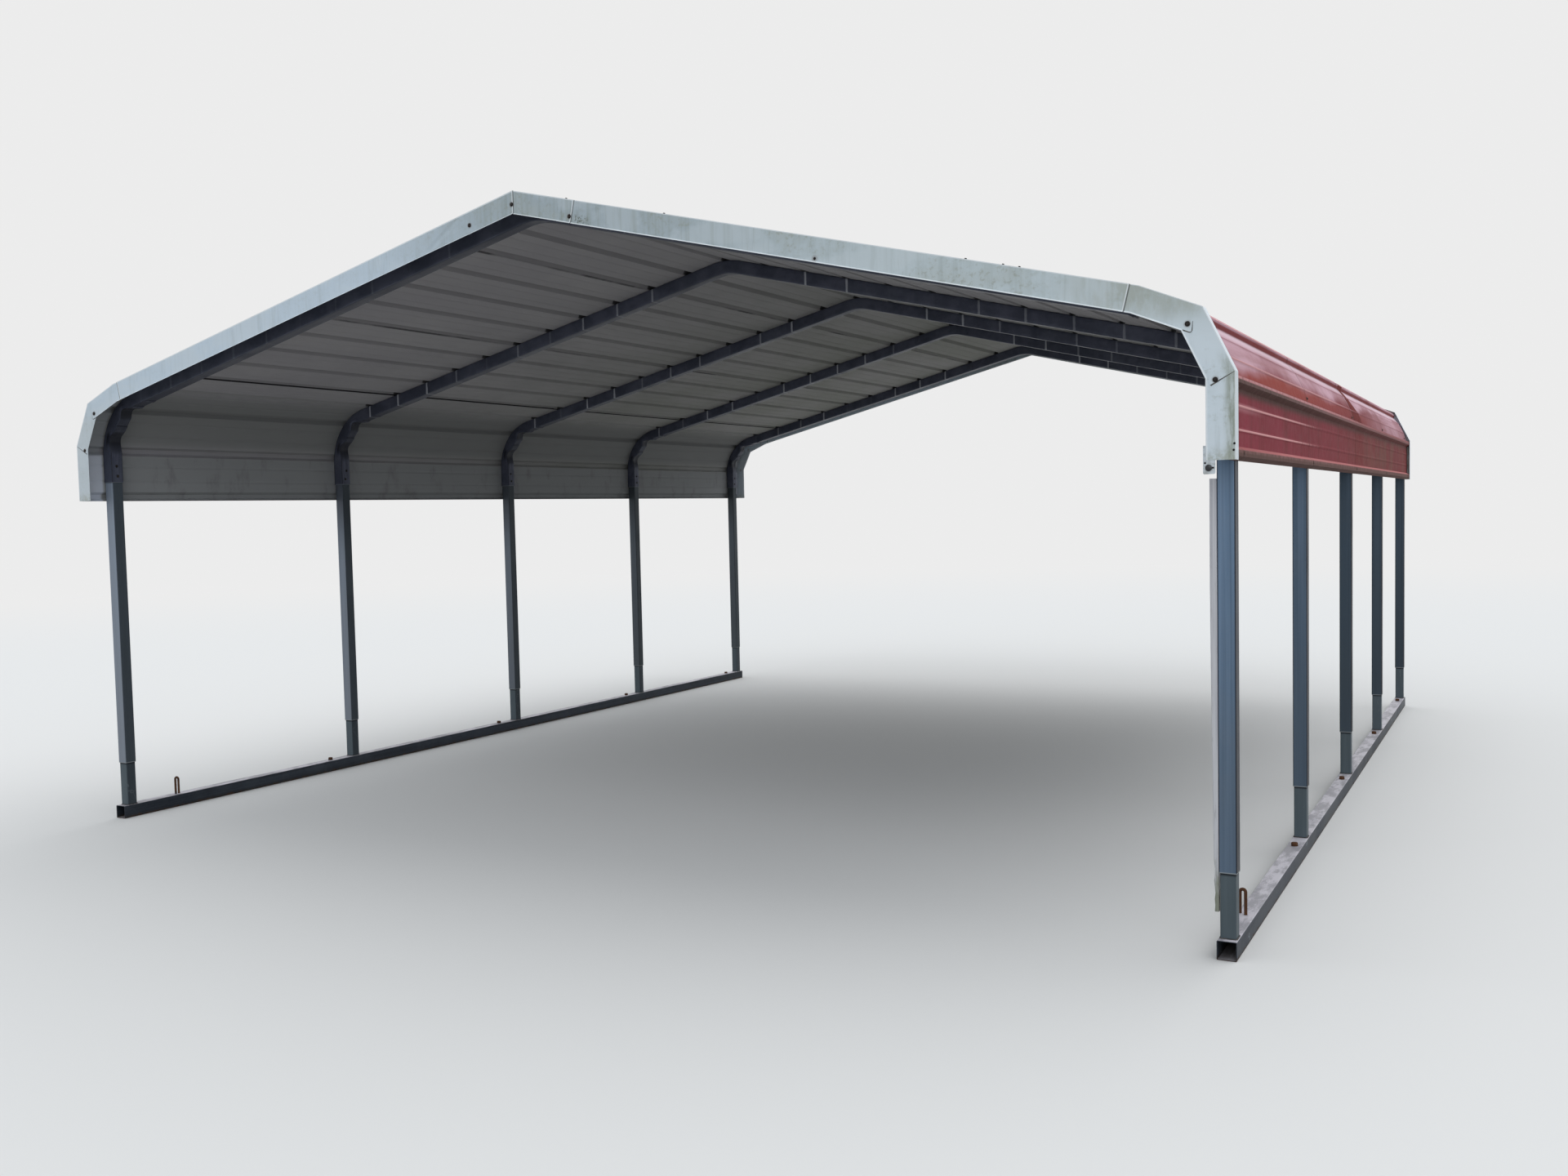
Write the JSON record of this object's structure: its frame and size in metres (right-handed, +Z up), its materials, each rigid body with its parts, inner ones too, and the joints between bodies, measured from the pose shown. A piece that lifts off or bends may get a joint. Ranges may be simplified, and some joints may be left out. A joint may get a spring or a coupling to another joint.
{
  "type": "carport",
  "caption": "Open carport of square steel tube: posts on base rails, bent roof bows with knee braces, ribbed roofing sheet with rounded eaves and folded edge trim.",
  "frame": {"origin": "centre of the footprint on the floor, at the underside of the base rails", "axes": "+Z up, -Y towards the open front, +X to the right seen from the front, +Y along the ridge to the back"},
  "size_m": [5.533, 6.4146, 2.7635],
  "materials": {
    "galvanised_tube": "weathered galvanised steel, dull, with water streaks",
    "roof_sheet": "barn red paint outside, bleached along the eaves, off-white below",
    "edge_trim": "white paint with green and brown grime",
    "rusted_rod": "rough rust",
    "painted_lath": "old white paint, bare and dirty at the foot"
  },
  "bodies": {
    "root": {"anchor_stakes": "rusted_rod", "back_trim_left_eave": "edge_trim", "back_trim_left_slope": "edge_trim", "back_trim_ridge_splice": "edge_trim", "back_trim_right_eave": "edge_trim", "back_trim_right_slope": "edge_trim", "base_rail_left": "galvanised_tube", "base_rail_right": "galvanised_tube", "front_trim_left_eave": "edge_trim", "front_trim_left_slope": "edge_trim", "front_trim_ridge_splice": "edge_trim", "front_trim_right_eave": "edge_trim", "front_trim_right_slope": "edge_trim", "knee_braces_left": "galvanised_tube", "knee_braces_right": "galvanised_tube", "left_eave_sheet_back": "roof_sheet", "left_eave_sheet_front": "roof_sheet", "left_lower_sheet_back": "roof_sheet", "left_lower_sheet_front": "roof_sheet", "left_post_1": "galvanised_tube", "left_post_2": "galvanised_tube", "left_post_3": "galvanised_tube", "left_post_4": "galvanised_tube", "left_post_5": "galvanised_tube", "left_upper_sheet_back": "roof_sheet", "left_upper_sheet_front": "roof_sheet", "post_lath": "painted_lath", "ridge_sheet_back": "roof_sheet", "ridge_sheet_front": "roof_sheet", "right_eave_sheet_back": "roof_sheet", "right_eave_sheet_front": "roof_sheet", "right_lower_sheet_back": "roof_sheet", "right_lower_sheet_front": "roof_sheet", "right_post_1": "galvanised_tube", "right_post_2": "galvanised_tube", "right_post_3": "galvanised_tube", "right_post_4": "galvanised_tube", "right_post_5": "galvanised_tube", "right_upper_sheet_back": "roof_sheet", "right_upper_sheet_front": "roof_sheet", "roof_bow_1": "galvanised_tube", "roof_bow_2": "galvanised_tube", "roof_bow_3": "galvanised_tube", "roof_bow_4": "galvanised_tube", "roof_bow_5": "galvanised_tube"}
  },
  "joints": []
}
